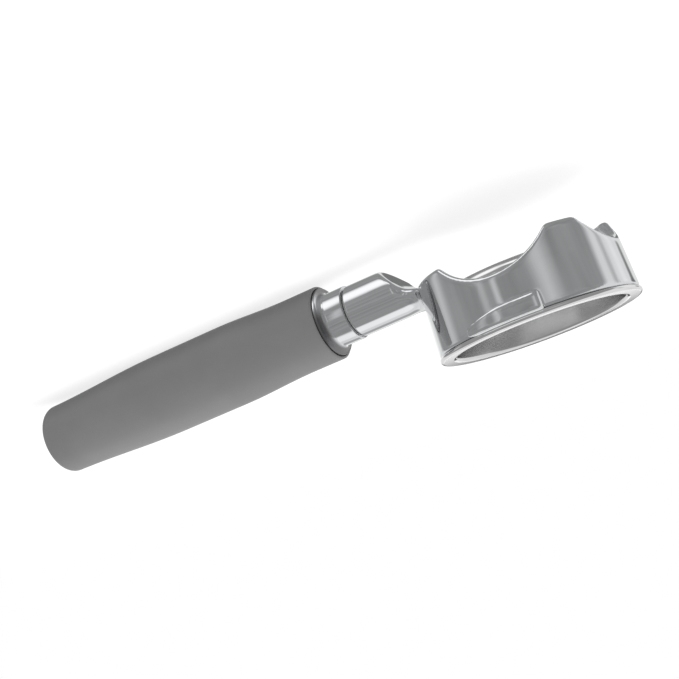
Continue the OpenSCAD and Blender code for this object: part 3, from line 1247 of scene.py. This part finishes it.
@dataclass
class Studio:
    """The pale floor, the surround, the lamps and the camera."""

    floor_z: float = -0.0448
    floor_r: float = 2.5
    soft_light: float = 0.82
    floor_fade: Span = (0.25, 0.8)
    floor_white: float = 1.12
    shadow_tone: float = 0.36
    floor_bounce: float = 0.35
    dark_side: float = 0.31
    bright_side: float = 0.80
    clutter: float = 0.22
    clutter_scale: tuple[float, float, float] = (3.0, 3.0, 11.0)
    sill_bearing: float = 72.0
    sill_half: float = 18.0
    sill_foot: Span = (-2.0, 1.0)
    sill_head: Span = (6.85, 6.6)
    sill_tone: float = 0.08
    backdrop: Way = Way(99.5, 31.1)
    backdrop_edge: Span = (0.21, 0.36)
    strip_foot: Span = (-30.0, -20.0)
    strip_head: Span = (6.0, -2.0)
    strips: tuple[Strip, ...] = (
        Strip(0.0, 14.0, 0.26), Strip(-59.0, 7.0, 0.15), Strip(-75.0, 6.0, 0.26),
        Strip(-130.0, 20.0, 0.24), Strip(-100.0, 14.0, -0.05), Strip(57.0, 15.0, 0.22),
        Strip(128.0, 9.0, 0.10), Strip(145.0, 7.0, -0.25),
    )
    patches: tuple[Patch, ...] = (
        Patch(-43.0, -58.0, 3.0, 25.0, 1.2), Patch(86.0, -20.0, 4.0, 9.0, 0.2),
        Patch(73.0, 14.0, 7.0, 10.0, 1.0), Patch(108.0, -5.0, 3.0, 8.0, 0.2),
        Patch(-98.0, -66.0, 5.0, 15.0, 1.15), Patch(18.0, 68.0, 8.0, 18.0, 1.0),
        Patch(62.0, 37.0, 5.0, 13.0, 0.42),
    )
    azimuth: float = -18.0
    elevation: float = 6.8
    roll: float = 200.5
    distance: float = 0.62
    aim: tuple[float, float, float] = (0.0695, 0.0, -0.0235)
    lens: float = 100.0
    lamp_place: tuple[float, float, float] = (0.05, 0.25, 0.8)
    lamp_size: float = 0.7
    lamp_watts: float = 1.6

    def floor(self) -> None:
        """A pale disc that keeps the shadow, fades into white and is clear from below."""
        bm = bmesh.new()
        bmesh.ops.create_circle(
            bm, cap_ends=True, segments=96, radius=self.floor_r,
            matrix=Matrix.Translation((0, 0, self.floor_z)),
        )
        mesh = bpy.data.meshes.new("floor")
        bm.to_mesh(mesh)
        bm.free()
        material = bpy.data.materials.new("pale_floor")
        sheet = NodeSheet(material)
        seen = sheet.number("ShaderNodeLightPath", {}, {}, output=0)
        x, y, _ = sheet.axes(sheet.place())
        far = (x * x + y * y).maths("SQRT").rise(*self.floor_fade)
        lit = sheet.node("ShaderNodeBsdfDiffuse", {}, {"Color": (self.shadow_tone,) * 3 + (1.0,)})
        glow = seen * (self.floor_white - self.shadow_tone) + (1 - seen) * self.floor_bounce
        glow = sheet.node("ShaderNodeEmission", {}, {"Strength": glow})
        near = sheet.node("ShaderNodeAddShader", {}, [lit, glow])
        white = sheet.node("ShaderNodeEmission", {}, {"Strength": 1.0})
        mixed = sheet.node("ShaderNodeMixShader", {}, [far * seen, near, white])
        below = sheet.number("ShaderNodeNewGeometry", {}, {}, output=6)
        clear = sheet.node("ShaderNodeBsdfTransparent", {}, {})
        shown = sheet.node("ShaderNodeMixShader", {}, [below * seen, mixed, clear])
        sheet.node("ShaderNodeOutputMaterial", {}, {"Surface": shown})
        mesh.materials.append(material)
        floor = bpy.data.objects.new("floor", mesh)
        bpy.context.scene.collection.objects.link(floor)
        floor.visible_glossy = False

    def mirrored_tone(self, sheet: NodeSheet) -> Signal:
        """Draws what polished metal mirrors: pale and grey walls, strips and patches.

        Args:
            sheet: the world's sheet.

        Returns:
            The tone in each direction.
        """
        way = sheet.node("ShaderNodeTexCoord", {}, {}, output=0)
        axes = sheet.axes(way)
        bearing = axes[1].maths("ARCTAN2", axes[0]) * (180 / math.pi)
        height = axes[2].maths("ARCSINE") * (180 / math.pi)
        clutter = sheet.noise(sheet.stretched(way, self.clutter_scale), 1.0, 2.0) - 0.5
        backdrop = self.backdrop.facing(axes).rise(*self.backdrop_edge)
        tone = backdrop * (self.bright_side - self.dark_side) + self.dark_side
        tone = tone + clutter * self.clutter
        level = height.rise(*self.strip_foot) * height.rise(*self.strip_head)
        for strip in self.strips:
            tone = tone + bearing.band(strip.bearing, strip.half) * level * strip.gain
        for patch in self.patches:
            core = math.cos(math.radians(patch.core))
            edge = math.cos(math.radians(patch.edge))
            tone = tone + (patch.tone - tone) * patch.facing(axes).rise(edge, core)
        sill = bearing.band(self.sill_bearing, self.sill_half) * height.rise(*self.sill_foot)
        return tone + (self.sill_tone - tone) * sill * height.rise(*self.sill_head)

    def surround(self) -> None:
        """White to the eye, an even soft light, and a studio of pale and grey walls in metal."""
        world = bpy.data.worlds.new("studio")
        bpy.context.scene.world = world
        world.cycles.sampling_method = "NONE"
        sheet = NodeSheet(world)
        path = sheet.node("ShaderNodeLightPath", {}, {}).node
        white = Signal(sheet, path.outputs["Is Camera Ray"])
        white = white + Signal(sheet, path.outputs["Is Transmission Ray"])
        gloss = Signal(sheet, path.outputs["Is Glossy Ray"])
        plain = (1 - gloss) * (1 - white)
        strength = plain * self.soft_light + white + gloss * self.mirrored_tone(sheet)
        back = sheet.node(
            "ShaderNodeBackground", {}, {"Color": (1.0, 1.0, 1.0, 1.0), "Strength": strength}
        )
        sheet.node("ShaderNodeOutputWorld", {}, {"Surface": back})

    def lamp(self) -> None:
        """Hangs a soft square lamp that points at the object and isn't mirrored in it."""
        light = bpy.data.lights.new("overhead_lamp", "AREA")
        light.shape, light.size, light.energy = "SQUARE", self.lamp_size, self.lamp_watts
        lamp = bpy.data.objects.new("overhead_lamp", light)
        lamp.location = self.lamp_place
        lamp.rotation_mode = "QUATERNION"
        below = Vector(self.aim) - Vector(self.lamp_place)
        lamp.rotation_quaternion = below.to_track_quat("-Z", "Y")
        lamp.visible_glossy = False
        lamp.visible_camera = False
        bpy.context.scene.collection.objects.link(lamp)

    def camera(self) -> None:
        """The camera, rolled so that the basket's mouth faces down as when it is knocked out."""
        a, e, r = (math.radians(v) for v in (self.azimuth, self.elevation, self.roll))
        back = Vector((math.sin(a) * math.cos(e), -math.cos(a) * math.cos(e), math.sin(e)))
        right = Vector((math.cos(a), math.sin(a), 0))
        upright = back.cross(right)
        up = right * math.sin(r) + upright * math.cos(r)
        place = back * self.distance
        away = (place - Vector(self.aim)).normalized()
        up = (up - away * up.dot(away)).normalized()
        side = up.cross(away)
        data = bpy.data.cameras.new("camera")
        data.lens = self.lens
        data.clip_start = 0.01
        camera = bpy.data.objects.new("camera", data)
        turn = Matrix((side, up, away)).transposed().to_4x4()
        camera.matrix_world = Matrix.Translation(place) @ turn
        bpy.context.scene.collection.objects.link(camera)
        bpy.context.scene.camera = camera

    def build(self) -> None:
        """Sets the whole studio."""
        bpy.context.scene.view_settings.view_transform = "Standard"
        self.camera()
        self.floor()
        self.surround()
        self.lamp()


def main() -> None:
    """Builds the studio and every sub-assembly in order."""
    logging.basicConfig(level=logging.INFO, format="%(name)s %(message)s")
    for assembly in (Studio(), Holder(), FilterBasket(), Handle()):
        assembly.build()
        log.info("%s done", type(assembly).__name__)


if __name__ == "__main__":
    main()
